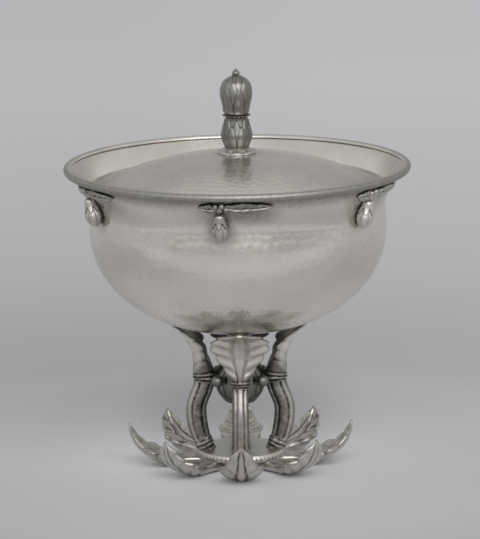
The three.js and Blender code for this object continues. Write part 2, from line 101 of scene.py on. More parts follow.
# Lid
LID_SHEET = 1.1
DOME_RISE = 16.5
SEAT_LAND = 3.2
LID_WIRE_WIDTH = 2.1
BEZEL_THICKNESS = 1.1
SEAT_LOW, SEAT_HIGH = extent("lid_seat")
SEAT_Z = SEAT_HIGH[2]
WIRE_HIGH = extent("lid_wire")[1]
BEZEL_LOW, BEZEL_HIGH = extent("lid_bezel")
BEZEL_INNER = BEZEL_HIGH[0] - BEZEL_THICKNESS
DOME_FOOT = extent("lid_dome")[0][2]
DOME_OUTER = WIRE_HIGH[0] - LID_WIRE_WIDTH - SOLDER_GAP
DOME_CURVE = (DOME_OUTER**2 + DOME_RISE**2) / (2 * DOME_RISE)
DOME_CENTRE = DOME_FOOT + DOME_RISE - DOME_CURVE

# Finial
FINIAL_SEAT_Z = extent("finial_base")[0][2]
FINIAL_EDGE = extent("finial_base")[1][0]
FINIAL_BUD_RADIUS = extent("finial_lower_bud")[1][0]
FINIAL_THROAT = FINIAL_BUD_RADIUS * 0.7
FINIAL_NECK = 5.6
FINIAL_TIP_RADIUS = 1.9

# Ornament under the lip: how dark each spray and bud is, and berries as (along, below, radius)
ORNAMENT_AGE = (1.0, 0.0, 0.6, 0.8, 0.5, 0.45)
SPRAY_TURN = -6.5
SPRAY_DROP = 4.9
LEAF_HALF_HEIGHT = 4.6
BERRIES = ((-1.5, 3.6, 1.35), (1.5, 3.3, 1.45), (0.2, 6.0, 1.6), (3.2, 5.8, 1.15))
BERRY_LIFT = 1.1
BUD_RADIUS = 4.4
BUD_LENGTH = 14.5

# The leaves of a spray, each (start, end, half width, lobes, height, bend)
SPRAY_LEAVES = (
    ((1.5, SPRAY_DROP - 0.4), (26, SPRAY_DROP - 0.6), LEAF_HALF_HEIGHT, 6, 2.3, 0.9),
    ((-0.5, SPRAY_DROP + 0.2), (-10, SPRAY_DROP), 3.9, 4, 2.0, -0.6),
)

# Stand
DISC_LOW, DISC_HIGH = extent("base_disc")
DISC_RADIUS = DISC_HIGH[0]
LEG_WIDTH = 8
LEG_DEPTH = 10
LEG_SUNK = 2
LEG_LEAF_START = 0.58
ANKLE_RADIUS = 16.5
ANKLE_DEPTH = 8
BULGE_RADIUS = 21.4
BULGE_HEIGHT = 18.6
WAIST_RADIUS = 17.2
WAIST_HEIGHT = 35
LEAF_REACH = 34.5
LEAF_WIDTH = 32
LEAF_DEPTH = 3.6
FOOT_TIP_REACH = 53.5
FOOT_TIP_HEIGHT = 21
FOOT_CONTACT = 27
FOOT_WIDTH = 22
FOOT_HEEL_WIDTH = 9
FOOT_DEPTH = 5.6
FOOT_SINK = 0.3
FOOT_LEAF_START = 0.3
LEAF_CUP = 0.02
LOBES = 5
CORNER_SOFTNESS = 2.6
CARVING_DEPTH = 0.34
BULGE_Z = DISC_HIGH[2] + BULGE_HEIGHT
WAIST_Z = DISC_HIGH[2] + WAIST_HEIGHT

FRONT = -90
SIDES = {"front": FRONT, "right": 0, "back": 90, "left": 180}
# How much of each stem's oxide and painted shade reaches down to its foot
STEM_FOOT_SHADE = {"front": 1.0, "right": 1.0, "back": 0.9, "left": 1.0}

# Heel, scale and lift of the four leaf feet, and of the smaller leaves between them
FOOT_LEAF = (9.5, 1, 0)
BETWEEN_LEAF = (14, 0.95, 0.5)


# Curves in the plane of the radius and the height, as rows of (radius, height)


def bezier(points, count):
    """Points along a Bezier curve of any degree."""
    share = np.linspace(0, 1, count)[:, None]
    degree = len(points) - 1
    terms = [
        math.comb(degree, k) * (1 - share) ** (degree - k) * share**k * np.array(point, float)
        for k, point in enumerate(points)
    ]
    return sum(terms)


def spline(points, count):
    """A smooth curve through the points."""
    points = np.array(points, float)
    last = len(points) - 1
    curve = []
    for place in np.linspace(0, last, count):
        k = min(int(place), last - 1)
        t = place - k
        a, b, c, d = (points[min(max(k + step, 0), last)] for step in (-1, 0, 1, 2))
        bend = (2 * a - 5 * b + 4 * c - d) * t**2 + (3 * b - a - 3 * c + d) * t**3
        curve.append(0.5 * (2 * b + (c - a) * t + bend))
    return np.array(curve)


def stations(node, rows):
    """Outline points from pairs of a radius and a share of a CAD node's height."""
    low, high = extent(node)
    return [(radius, low[2] + share * (high[2] - low[2])) for radius, share in rows]


def lengths(points):
    """Distance along an outline at each of its points."""
    steps = np.linalg.norm(np.diff(points, axis=0), axis=1)
    return np.concatenate([[0], np.cumsum(steps)])


def evenly(points, count):
    """The same outline with its points spaced evenly."""
    along = lengths(points)
    places = np.linspace(0, along[-1], count)
    return np.column_stack([np.interp(places, along, column) for column in points.T])


def eased(points, ease, closed=True):
    """An outline with its corners rounded off."""
    points = np.array(points, float)
    last = len(points) - 1
    rounded = []
    for k, corner in enumerate(points):
        if not closed and k in (0, last):
            rounded.append(corner[None])
            continue
        steps = (points[k - 1] - corner, points[(k + 1) % (last + 1)] - corner)
        ends = [corner + step * min(ease / max(np.linalg.norm(step), 1e-6), 0.45) for step in steps]
        rounded.append(bezier([ends[0], corner, ends[1]], 5))
    return np.vstack(rounded)


def smooth(points, count):
    """A smooth, evenly spaced outline through the points."""
    return evenly(spline(points, count), count)


def tangents(path):
    """Unit vectors along a path."""
    along = np.gradient(path, axis=0)
    return along / np.linalg.norm(along, axis=1)[:, None]


def offset(outline, distance):
    """An outline moved along its normals, towards the axis if above 0."""
    along = tangents(outline)
    along[0] = (1, 0)
    radius = np.maximum(outline[:, 0] - along[:, 1] * distance, 0)
    return np.column_stack([radius, outline[:, 1] + along[:, 0] * distance])


def through(pairs, place):
    """A value that runs smoothly through (place, value) pairs."""
    places, values = np.array(pairs, float).T
    k = np.clip(np.searchsorted(places, place) - 1, 0, len(places) - 2)
    t = np.clip((place - places[k]) / (places[k + 1] - places[k]), 0, 1)
    return values[k] + (values[k + 1] - values[k]) * t * t * (3 - 2 * t)


def bump(place, middle, width):
    """A soft rise round a middle."""
    return np.exp(-(((place - middle) / width) ** 2))


def ramp(place, start, end):
    """A value that goes from 0 to 1 between two places."""
    return np.clip((place - start) / (end - start), 0, 1)


def belly():
    """The bowl's outside up to its widest place."""
    turn = np.linspace(0, math.pi / 2, 120)
    radius = BELLY_RADIUS * np.sin(turn) ** (2 / BELLY_FULLNESS)
    height = BELLY_Z - BELLY_DEPTH * np.maximum(np.cos(turn), 0) ** (2 / BELLY_FULLNESS)
    return np.column_stack([radius, height])


FLARE = bezier([(NECK_RADIUS, NECK_Z), (NECK_RADIUS, NECK_Z + FLARE_STRAIGHT), (LIP_RADIUS, LIP_Z)], 60)
FLARE_LENGTH = lengths(FLARE)[-1]
BOWL_OUTSIDE = evenly(np.vstack([belly(), FLARE[1:]]), 400)


def outside_radius(height):
    """Radius of the bowl's outside at a height."""
    return np.interp(height, BOWL_OUTSIDE[:, 1], BOWL_OUTSIDE[:, 0])


def underside_height(radius):
    """Height of the bowl's underside at a radius."""
    share = np.maximum(1 - (radius / BELLY_RADIUS) ** BELLY_FULLNESS, 0)
    return BELLY_Z - BELLY_DEPTH * share ** (1 / BELLY_FULLNESS)


# Surfaces as grids of points whose columns run round


def angles(columns):
    """The angle of each column, as a row."""
    return (np.arange(columns) / columns * TAU)[None, :]


def polar(radius, turn, height):
    """Points by distance from the Z axis, angle about it and height."""
    return np.stack([radius * np.cos(turn), radius * np.sin(turn), height], -1)


def revolve(outline, columns):
    """An outline turned about the Z axis."""
    turn = angles(columns)
    return polar(outline[:, :1], turn, outline[:, 1:] + 0 * turn)


def from_axis(points):
    """Distance of each point from the Z axis."""
    return np.linalg.norm(points[..., :2], axis=-1)


def turned_by(points, degrees):
    """Points turned about the Z axis."""
    turn = math.radians(degrees)
    x, y, z = np.moveaxis(points, -1, 0)
    turned_x = x * math.cos(turn) - y * math.sin(turn)
    turned_y = x * math.sin(turn) + y * math.cos(turn)
    return np.stack([turned_x, turned_y, z], -1)


def normals(points, ring):
    """Outward normals of a grid."""
    along = np.roll(points, -1, 0) - np.roll(points, 1, 0) if ring else np.gradient(points, axis=0)
    normal = np.cross(np.roll(points, -1, 1) - np.roll(points, 1, 1), along)
    normal /= np.linalg.norm(normal, axis=-1)[..., None] + 1e-12
    from_middle = points - points.mean(axis=1, keepdims=True)
    return normal * np.sign((normal * from_middle).sum())


def raised(points, height, ring=False):
    """A grid with each point moved along its normal by a height."""
    return points + normals(points, ring) * height[..., None]


def hollows(height, reach, depth):
    """How deep each point lies below what is round it, from 0 to 1."""
    blurred = height.copy()
    for _ in range(reach):
        padded = np.pad(blurred, ((1, 1), (0, 0)), mode="edge")
        beside = np.roll(blurred, 1, 1) + np.roll(blurred, -1, 1)
        blurred = (padded[:-2] + padded[2:] + beside) / 4
    return np.clip((blurred - height) / depth, 0, 1)


def ball(middle, radius, columns=28):
    """A small ball, as a grid from pole to pole."""
    lift = np.linspace(-math.pi / 2, math.pi / 2, 18)[1:-1]
    grid = revolve(np.column_stack([radius * np.cos(lift), radius * np.sin(lift)]), columns)
    return grid + np.array(middle)


class Skin:
    """A closed surface through a grid, with fans at its ends where it isn't a ring."""

    def __init__(self, points, dark=None, ring=False):
        rows, columns = points.shape[:2]
        index = np.arange(rows * columns).reshape(rows, columns)
        lower = index if ring else index[:-1]
        upper = np.roll(index, -1, 0) if ring else index[1:]
        quads = np.stack([lower, np.roll(lower, -1, 1), np.roll(upper, -1, 1), upper], -1)
        self.points = points.reshape(-1, 3)
        self.faces = quads.reshape(-1, 4).tolist()
        self.dark = (np.zeros((rows, columns)) if dark is None else dark).reshape(-1)
        if ring:
            return
        for row, step in ((0, -1), (rows - 1, 1)):
            centre = len(self.points)
            self.points = np.vstack([self.points, points[row].mean(0)])
            self.dark = np.append(self.dark, self.dark[index[row]].mean())
            ends = np.roll(index[row], -step)
            self.faces += [[centre, int(a), int(b)] for a, b in zip(index[row], ends)]


def joined_mesh(name, skins):
    """One mesh of closed skins, with their darkness as an attribute."""
    points = np.vstack([skin.points for skin in skins]) * MM
    starts = np.cumsum([0] + [len(skin.points) for skin in skins[:-1]]).tolist()
    faces = [[start + k for k in face] for skin, start in zip(skins, starts) for face in skin.faces]
    mesh = bpy.data.meshes.new(name)
    mesh.from_pydata(points.tolist(), [], faces)
    shaped = bmesh.new()
    shaped.from_mesh(mesh)
    bmesh.ops.recalc_face_normals(shaped, faces=shaped.faces)
    shaped.to_mesh(mesh)
    shaped.free()
    dark = mesh.attributes.new("dark", "FLOAT", "POINT")
    shade = np.concatenate([skin.dark for skin in skins])
    dark.data.foreach_set("value", shade.astype(np.float32))
    mesh.polygons.foreach_set("use_smooth", [True] * len(mesh.polygons))
    mesh.set_sharp_from_angle(angle=math.radians(SHARP_ANGLE))
    return mesh


def added(name, data):
    """A new object in the scene."""
    made = bpy.data.objects.new(name, data)
    bpy.context.scene.collection.objects.link(made)
    return made


def piece(name, skins, finish, body, node):
    """One object that rides on a body, stands for a CAD node and has a finish."""
    material, slot = finish
    mesh = joined_mesh(name, skins)
    mesh.materials.append(material)
    made = added(name, mesh)
    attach(made, body)
    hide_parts(node)


def turned_ring(name, outline, ease, finish, body, node, columns=RING_COLUMNS):
    """A plain turned ring with eased edges."""
    grid = revolve(eased(outline, ease), columns)
    piece(name, [Skin(grid, ring=True)], finish, body, node)


def turned_relief(outline, columns, relief):
    """A turned surface with a relief of its angle and share, and its height."""
    grid = revolve(outline, columns)
    along = lengths(outline)
    height = relief(angles(columns), (along / along[-1])[:, None])
    return raised(grid, height), height


def carved(name, outline, columns, relief, finish, body, node, reach=6, depth=0.25):
    """A turned, carved bud or knop whose grooves are dark."""
    grid, height = turned_relief(outline, columns, relief)
    piece(name, [Skin(grid, hollows(height, reach, depth))], finish, body, node)


# Materials


class Nodes:
    """Short calls for building a node tree."""

    def __init__(self, tree):
        self.tree = tree

    def fill(self, node, inputs):
        for key, value in inputs.items():
            if isinstance(value, bpy.types.NodeSocket):
                self.tree.links.new(value, node.inputs[key])
            else:
                node.inputs[key].default_value = value
        return node

    def add(self, kind, inputs=None, **settings):
        node = self.tree.nodes.new(kind)
        for key, value in settings.items():
            setattr(node, key, value)
        return self.fill(node, inputs or {})

    def math(self, operation, a, b=0.0, clamp=False):
        return self.add("ShaderNodeMath", {0: a, 1: b}, operation=operation, use_clamp=clamp).outputs[0]

    def times(self, *values):
        product = values[0]
        for value in values[1:]:
            product = self.math("MULTIPLY", product, value)
        return product

    def spread(self, value, low, high, out_low, out_high):
        inputs = {"Value": value, "From Min": low, "From Max": high}
        inputs |= {"To Min": out_low, "To Max": out_high}
        return self.add("ShaderNodeMapRange", inputs).outputs[0]

    def noise(self, where, scale, detail, rough=0.55):
        inputs = {"Vector": where, "Scale": scale, "Detail": detail, "Roughness": rough}
        return self.add("ShaderNodeTexNoise", inputs).outputs[0]

    def mix(self, share, a, b):
        """A mix of two colours."""
        return self.add("ShaderNodeMix", {0: share, 6: a, 7: b}, data_type="RGBA").outputs[2]

    def blend(self, share, a, b):
        """A mix of two values."""
        return self.add("ShaderNodeMix", {0: share, 2: a, 3: b}).outputs[0]

    def vector(self, operation, a, b=(0.0, 0.0, 0.0)):
        """The node of one vector sum."""
        return self.add("ShaderNodeVectorMath", {0: a, 1: b}, operation=operation)

    def place(self):
        """Where a point lies on the object, and its X, Y and Z."""
        where = self.add("ShaderNodeTexCoord").outputs["Object"]
        return where, *self.add("ShaderNodeSeparateXYZ", {0: where}).outputs


def new_material(name):
    material = bpy.data.materials.new(name)
    material.use_nodes = True
    return material, Nodes(material.node_tree), material.node_tree.nodes["Principled BSDF"]


def rubbed_relief(nodes, where, height, fine, grain, streak):
    """Bumps of a soft grain and of fine polishing rings."""
    flat = nodes.vector("MULTIPLY", where, (1.0, 1.0, 0.0)).outputs[0]
    radius = nodes.vector("LENGTH", flat).outputs["Value"]
    rubbed = nodes.add("ShaderNodeCombineXYZ", {0: radius, 1: height, 2: 0.0}).outputs[0]
    streaks = nodes.noise(rubbed, 700.0, 3.0)
    relief = nodes.math("ADD", nodes.times(fine, grain * MM), nodes.times(streaks, streak * MM))
    inputs = {"Height": relief, "Strength": 1.0, "Distance": 1.0}
    return nodes.add("ShaderNodeBump", inputs).outputs["Normal"]


def silver(name, bright, dark, roughness, oxide=1.0, cloud=0.06, grain=0.006, streak=0.003):
    """Silver darkened by the dark attribute, which holds oxide in its hollows and painted shade, with
    patches of cloud and small bumps, and its slot.
    """
    material, nodes, shader = new_material(name)
    where, _, _, height = nodes.place()
    patches = nodes.noise(where, 38.0, 5.0)
    fine = nodes.noise(where, 420.0, 6.0, 0.65)
    # The dark attribute holds oxide in hollows and painted shade; both darken the colour here
    oxide_and_shade = nodes.add("ShaderNodeAttribute", attribute_name="dark").outputs["Fac"]
    broken = nodes.times(oxide_and_shade, nodes.spread(fine, 0.3, 0.7, 0.75, 1.15))
    oxide_and_painted_shade = nodes.math("MULTIPLY", broken, oxide, clamp=True)
    clouded = nodes.mix(
        nodes.spread(patches, 0.35, 0.68, 0.0, 1.0),
        [*[tone * (1 - cloud) for tone in bright], 1],
        [*[min(tone * (1 + cloud), 1) for tone in bright], 1],
    )
    polish = nodes.spread(patches, 0.3, 0.7, roughness * 0.85, roughness * 1.2)
    worn = nodes.math("ADD", polish, nodes.spread(fine, 0.3, 0.7, -0.03, 0.05))
    inputs = {
        "Base Color": nodes.mix(oxide_and_painted_shade, clouded, [*dark, 1]),
        "Roughness": nodes.math("ADD", worn, nodes.times(oxide_and_painted_shade, 0.1), clamp=True),
        "Metallic": 1.0,
        "Normal": rubbed_relief(nodes, where, height, fine, grain, streak),
    }
    nodes.fill(shader, inputs)
    return material, SLOTS.get(name, name)


# The record's slot of each material that isn't named after one
SLOTS = {"rim_silver": "polished_silver"}
SLOTS |= dict.fromkeys(("pale_cast_silver", "aged_cast_silver", "dark_cast_silver"), "cast_silver")
SLOTS |= dict.fromkeys(("deep_oxidised_silver", "oxidised_spray", "oxidised_bud"), "oxidised_silver")
BLACK = (0.03, 0.028, 0.025)

HAMMERED = silver("hammered_silver", (0.81, 0.775, 0.712), (0.13, 0.123, 0.11), 0.24)
POLISHED = silver("polished_silver", (0.8, 0.77, 0.715), (0.15, 0.143, 0.13), 0.2, 1.0, 0.04, 0.004)
WIRE = silver("rim_silver", (0.72, 0.7, 0.65), (0.35, 0.34, 0.315), 0.36, 1.0, 0.08, 0.004)
CAST = silver("cast_silver", (0.6, 0.583, 0.54), (0.06, 0.056, 0.05), 0.33, 1.0, 0.12, 0.02)
PALE = silver("pale_cast_silver", (0.6, 0.583, 0.544), (0.08, 0.075, 0.068), 0.33, 1.0, 0.1, 0.016)
AGED = silver("aged_cast_silver", (0.32, 0.311, 0.29), (0.035, 0.033, 0.029), 0.35, 1.0, 0.14, 0.02)
DARK = silver("dark_cast_silver", (0.25, 0.243, 0.226), BLACK, 0.36, 1.0, 0.14, 0.02)
# Oxidised silver darkened further with painted shade, for the knop and the waist balls where shade falls
# between the legs
SHADED_OXIDE = silver("deep_oxidised_silver", (0.25, 0.244, 0.228), (0.025, 0.023, 0.021), 0.38, 1.1, 0.16, 0.03)
SPRAY = silver("oxidised_spray", (0.56, 0.545, 0.506), BLACK, 0.36, 1.1, 0.14, 0.02)
BUD = silver("oxidised_bud", (0.74, 0.718, 0.666), BLACK, 0.34, 1.1, 0.14, 0.02)
OXIDISED = silver("oxidised_silver", (0.84, 0.815, 0.756), BLACK, 0.36, 1.1, 0.18, 0.03)
STEEL = silver("steel_fastener", (0.55, 0.55, 0.56), (0.1, 0.1, 0.1), 0.3, streak=0.01)


# Bowl


def blows(outline, spacing, seed):
    """Places where a hammer fell, in uneven rings along an outline."""
    chance = np.random.default_rng(seed)
    along = lengths(outline)
    places = []
    for step, place in enumerate(np.arange(spacing * 0.5, along[-1], spacing * 0.87)):
        radius = np.interp(place, along, outline[:, 0])
        count = max(3, round(TAU * radius / spacing))
        turn = (np.arange(count) + 0.5 * (step % 2) + chance.normal(0, 0.16, count)) / count * TAU
        shifted = place + chance.normal(0, 0.14 * spacing, count)
        radii, heights = (np.interp(shifted, along, column) for column in outline.T)
        places.append(polar(radii, turn, heights))
    return np.vstack(places)


def hammering(points, places):
    """Share of the way from the middle of a blow to the ridge beside it."""
    tree = kdtree.KDTree(len(places))
    for k, place in enumerate(places):
        tree.insert(place, k)
    tree.balance()
    share = np.empty(points.shape[:2])
    for row, column in np.ndindex(share.shape):
        (_, _, nearest), (_, _, second) = tree.find_n(points[row, column], 2)
        share[row, column] = 2 * nearest / (nearest + second)
    return share


def hammered(outline, marks, seed, strength=1.0):
    """A turned sheet with a shallow facet at each blow."""
    spacing, depth = marks
    grid = revolve(outline, SHEET_COLUMNS)
    share = hammering(grid, blows(outline, spacing, seed))
    return raised(grid, -depth * (1 - share**2) * strength)


def spray_turn(k):
    """The angle of a spray and its bud, in degrees."""
    return FRONT + SPRAY_TURN + 360 / len(ORNAMENT_AGE) * k


def patch(along, below, middle, reach, height, depth):
    """A patch with soft edges."""
    return np.exp(-(((along - middle) / reach) ** 4) - ((below - height) / depth) ** 4)


def ornament_shade(points):
    """Oxide and painted shade on the sheet round the sprays and buds, and painted shade under the rim.
    """
    turn = np.degrees(np.arctan2(points[..., 1], points[..., 0]))
    below = points[..., 2] - LIP_Z
    shade = np.zeros(points.shape[:2])
    degree = math.radians(1) * NECK_RADIUS
    for k, age in enumerate(ORNAMENT_AGE):
        along = ((turn - spray_turn(k) + 180) % 360 - 180) * degree
        spray = patch(along, below, middle=8, reach=18, height=-5, depth=8)
        bud = patch(along, below, middle=0, reach=7, height=-14, depth=9.5)
        shade = np.maximum(shade, np.maximum(spray, bud) * (0.4 + 0.6 * age))
    # Painted shade in a band just under the rim, and oxide with painted shade round each spray and bud
    return np.maximum(shade * 0.68, ramp(below, -7, -1) * 0.8)


def build_bowl():
    outside = evenly(BOWL_OUTSIDE, 145)
    inside = evenly(offset(BOWL_OUTSIDE, SHEET), 60)[::-1]
    outer = hammered(outside[outside[:, 0] > POLE_RADIUS], OUTER_BLOWS, 11)
    inner = hammered(inside[inside[:, 0] > POLE_RADIUS], INNER_BLOWS, 12)
    dark = np.vstack([ornament_shade(outer), np.zeros(inner.shape[:2])])
    piece("hammered_bowl", [Skin(np.vstack([outer, inner]), dark)], HAMMERED, "bowl", "bowl_shell")


def build_rim_wire():
    """The wire round the lip, with painted shade on its outer, lower side."""
    along = FLARE[-1] - FLARE[-2]
    outwards = along / np.linalg.norm(along)
    across = np.array([-outwards[1], outwards[0]])
    clear = SOLDER_GAP + RIM_WIRE_RADIUS * RIM_WIRE_FLAT
    middle = FLARE[-1] + across * SHEET / 2 + outwards * clear
    opening = math.acos(RIM_WIRE_FLAT)
    turn = np.linspace(math.pi + opening, 3 * math.pi - opening, 24)[:, None]
    arc = middle + RIM_WIRE_RADIUS * (outwards * np.cos(turn) + across * np.sin(turn))
    grid = revolve(arc, RING_COLUMNS)
    # Painted shade: darker on the wire's outer, lower side
    painted_shade = np.clip(0.55 + 0.45 * np.cos(turn) - 0.55 * np.sin(turn), 0, 1)
    dark = painted_shade * np.ones(grid.shape[:2])
    piece("rim_bead", [Skin(grid, dark, ring=True)], WIRE, "bowl", "rim_wire")


def build_lid_seat():
    low, inner = SEAT_LOW[2], SEAT_HIGH[0] - SEAT_LAND
    middle = (low + SEAT_Z) / 2
    wall = offset(BOWL_OUTSIDE, SHEET + SOLDER_GAP)
    outline = [(inner, SEAT_Z), (inner, middle)]
    outline += [(np.interp(height, wall[:, 1], wall[:, 0]), height) for height in (low, middle, SEAT_Z)]
    turned_ring("seat_ring", outline, EDGE_EASE, POLISHED, "bowl", "lid_seat")


# Lid


def build_lid_wire():
    outer, top = WIRE_HIGH[0], WIRE_HIGH[2]
    ease = LID_WIRE_WIDTH / 4
    lip = outer - LID_WIRE_WIDTH
    foot = [(BEZEL_INNER, SEAT_Z), (outer - ease, SEAT_Z)]
    crown = bezier([(outer, SEAT_Z + 0.7), (outer, top), (outer - ease, top), (lip, top)], 16)
    ledge = [(lip, DOME_FOOT), (BEZEL_INNER, DOME_FOOT)]
    outline = np.vstack([foot, crown, ledge])
    turned_ring("lid_edge_wire", outline, EDGE_EASE / 2, POLISHED, "lid", "lid_wire")


def build_lid_bezel():
    outer, foot = BEZEL_HIGH[0], BEZEL_LOW[2]
    outline = [(BEZEL_INNER, foot), (outer, foot), (outer, SEAT_Z), (BEZEL_INNER, SEAT_Z)]
    turned_ring("lid_inner_bezel", outline, EDGE_EASE, POLISHED, "lid", "lid_bezel")


def dome_arc(curve, start, end, count):
    """Part of a sphere's outline round the dome's centre."""
    radius = np.linspace(start, end, count)
    return np.column_stack([radius, DOME_CENTRE + np.sqrt(curve**2 - radius**2)])


def build_dome():
    """The hammered dome, with oxide at the finial and painted shade near its edge."""
    seat = FINIAL_EDGE + SOLDER_GAP
    under = DOME_CURVE - LID_SHEET
    edge = math.sqrt(under**2 - (DOME_FOOT - DOME_CENTRE) ** 2)
    low_seat_z = FINIAL_SEAT_Z - LID_SHEET
    low_seat = math.sqrt(under**2 - (low_seat_z - DOME_CENTRE) ** 2)
    flat_top = bezier([(SCREW_BORE, FINIAL_SEAT_Z), (seat, FINIAL_SEAT_Z)], 8)[:-1]
    flat_low = bezier([(low_seat, low_seat_z), (SCREW_BORE, low_seat_z)], 6)[1:]
    top = dome_arc(DOME_CURVE, seat, DOME_OUTER, 92)
    below = dome_arc(under, edge, low_seat, 46)
    outside = [
        revolve(flat_top, SHEET_COLUMNS),
        hammered(top, OUTER_BLOWS, 21, ramp(top[:, :1], DOME_OUTER, DOME_OUTER - 3)),
    ]
    inside = [hammered(below, INNER_BLOWS, 22), revolve(flat_low, SHEET_COLUMNS)]
    grid = np.vstack(outside + inside)
    away = from_axis(grid)
    # Oxide round the finial's seat, and painted shade darkening towards the dome's edge
    dark = 0.2 * bump(away, seat, 2.2) + 0.3 * ramp(away, DOME_OUTER - 14, DOME_OUTER)
    dark[len(flat_top) + len(top) :] = 0
    piece("hammered_dome", [Skin(grid, dark, ring=True)], HAMMERED, "lid", "lid_dome")


# Finial


def petals(turn, share, rows, amount):
    """Overlapping pointed petals in rows, each (low, high, count, shift)."""
    height = np.zeros(np.broadcast(turn, share).shape)
    for layer, (low, high, count, shift) in enumerate(reversed(rows)):
        across = ((turn / TAU * count + shift) % 1 - 0.5) * 2
        up = ramp(share, low, high)
        half = np.clip(1 - up**2.2, 0, 1) ** 0.7
        inside = (share >= low) & (np.abs(across) < half)
        dome = np.sqrt(np.clip(1 - (across / np.maximum(half, 1e-3)) ** 2, 0, 1))
        midrib = bump(across, 0, 0.12) * (1 - up)
        over = 0.75 + 0.25 * layer / max(len(rows) - 1, 1)
        height = np.where(inside, amount * (0.25 + 0.6 * dome + 0.15 * midrib) * over, height)
    return height


def build_finial_base():
    rim = [(FINIAL_EDGE * 0.96, 0), (FINIAL_EDGE, 0.1), (FINIAL_EDGE, 0.28), (FINIAL_EDGE * 0.95, 0.42)]
    middle = (FINIAL_EDGE + FINIAL_THROAT) / 2
    rise = [(FINIAL_EDGE * 0.93, 0.45), (middle, 0.62), (FINIAL_THROAT, 1)]
    rim = eased(stations("finial_base", rim), EDGE_EASE, False)
    rise = spline(stations("finial_base", rise), 20)[1:]

    def calyx(turn, share):
        lobes = np.abs(np.cos(turn * 4)) ** 0.6
        return -0.9 * (1 - lobes) * bump(share, 0.35, 0.28) - 0.12 * bump(share, 0.12, 0.04)

    outline = evenly(np.vstack([rim, rise]), 40)
    carved("finial_calyx", outline, 192, calyx, PALE, "lid", "finial_base", 5, 0.3)


def build_lower_bud():
    widest, top = FINIAL_BUD_RADIUS, FINIAL_NECK * 0.96
    rows = [(FINIAL_THROAT, 0), (widest - 0.5, 0.34), (widest * 0.86, 0.6), (top, 0.9), (top, 1)]
    outline = smooth(stations("finial_lower_bud", rows), 90)

    def leaves(turn, share):
        return petals(turn, share, [(0.0, 0.72, 8, 0.0), (0.18, 0.94, 8, 0.5)], 0.75)

    carved("finial_lower_leaves", outline, 192, leaves, DARK, "lid", "finial_lower_bud")


def build_collar():
    widest = extent("finial_collar")[1][0]
    rows = [(FINIAL_NECK, 0), (widest, 0.5), (FINIAL_NECK, 1)]
    outline = spline(stations("finial_collar", rows), 28)

    def beading(turn, share):
        return 0.35 * np.abs(np.cos(turn * 9)) ** 0.7 * bump(share, 0.5, 0.22) - 0.3

    carved("finial_beaded_collar", outline, 216, beading, AGED, "lid", "finial_collar", 4, 0.2)


def build_upper_bud():
    widest = extent("finial_upper_bud")[1][0] - 0.75
    side = widest * 0.84
    rows = [(FINIAL_NECK, 0), (side, 0.22), (widest, 0.52), (side, 0.82), (FINIAL_TIP_RADIUS, 1)]
    outline = smooth(stations("finial_upper_bud", rows), 130)

    def closed_bud(turn, share):
        rows = [(0.0, 0.62, 7, 0.0), (0.12, 0.82, 7, 0.5), (0.3, 0.985, 7, 0.0)]
        return petals(turn, share, rows, 0.85) * (0.35 + 0.65 * ramp(share, 0, 0.07))

    carved("finial_closed_bud", outline, 224, closed_bud, AGED, "lid", "finial_upper_bud")


def build_tip():
    low, high = extent("finial_tip")
    rows = [(0.7, 0), (1, 0.7), (0.5, 1.4)]
    lower = [(FINIAL_TIP_RADIUS * wide, low[2] + FINIAL_TIP_RADIUS * up) for wide, up in rows]

    def ribs(turn, share):
        return -0.12 * (1 - np.abs(np.cos(turn * 4))) * np.ones_like(share)

    outline = spline([*lower, (0.05, high[2])], 30)
    carved("finial_tip_bead", outline, 96, ribs, AGED, "lid", "finial_tip", 3, 0.08)


# Fasteners


def threaded(name, node, body, radius, columns):
    """A rod with a thread over its whole length."""
    low, high = (corner[2] for corner in extent(node))
    outline = bezier([(radius, low), (radius, high)], int((high - low) / THREAD_PITCH * 8))
    grid, height = revolve(outline, columns), outline[:, 1:]
    wave = np.cos((grid[..., 2] - low) / THREAD_PITCH * TAU - angles(columns))
    cut = -THREAD_DEPTH * (1 - wave) / 2
    cut -= 0.35 * ramp(np.minimum(height - low, high - height), 0.4, 0)
    skin = Skin(raised(grid, cut), np.clip(-cut / THREAD_DEPTH, 0, 1) * 0.6)
    piece(name, [skin], STEEL, body, node)


def hex_nut(name, node, body, bore):
    """A nut with chamfered ends."""
    low, high = extent(node)
    corner, sixth = high[0], math.pi / 6
    flat = corner * math.cos(sixth)
    turn = angles(FASTENER_COLUMNS)[0]
    side = flat / np.cos((turn + sixth) % (2 * sixth) - sixth)
    side = np.minimum(side, corner * 0.985)
    half = NUT_CHAMFER / 2
    end = [(bore, half), (bore + half, 0), (flat * 0.94, 0), (side, NUT_CHAMFER)]
    rows = [(reach, low[2] + up) for reach, up in end]
    rows += [(reach, high[2] - down) for reach, down in end[::-1]]
    grid = np.array([polar(reach, turn, np.full(turn.size, height)) for reach, height in rows])
    piece(name, [Skin(grid, ring=True)], STEEL, body, node)


def flat_washer(name, node, body, bore):
    low, high = extent(node)
    outline = [(bore, low[2]), (high[0], low[2]), (high[0], high[2]), (bore, high[2])]
    turned_ring(name, outline, 0.2, STEEL, body, node, FASTENER_COLUMNS)


def build_fasteners():
    threaded("finial_threaded_screw", "finial_screw", "lid", SCREW_RADIUS, 40)
    flat_washer("finial_flat_washer", "finial_washer", "lid", SCREW_BORE)
    hex_nut("finial_hex_nut", "finial_nut", "lid", SCREW_BORE)
    threaded("centre_threaded_rod", "centre_rod", "bowl", ROD_RADIUS, 48)
    flat_washer("rod_flat_washer", "rod_washer", "bowl", ROD_BORE)
    hex_nut("rod_hex_nut", "rod_nut", "bowl", ROD_BORE)


# Ornament under the lip


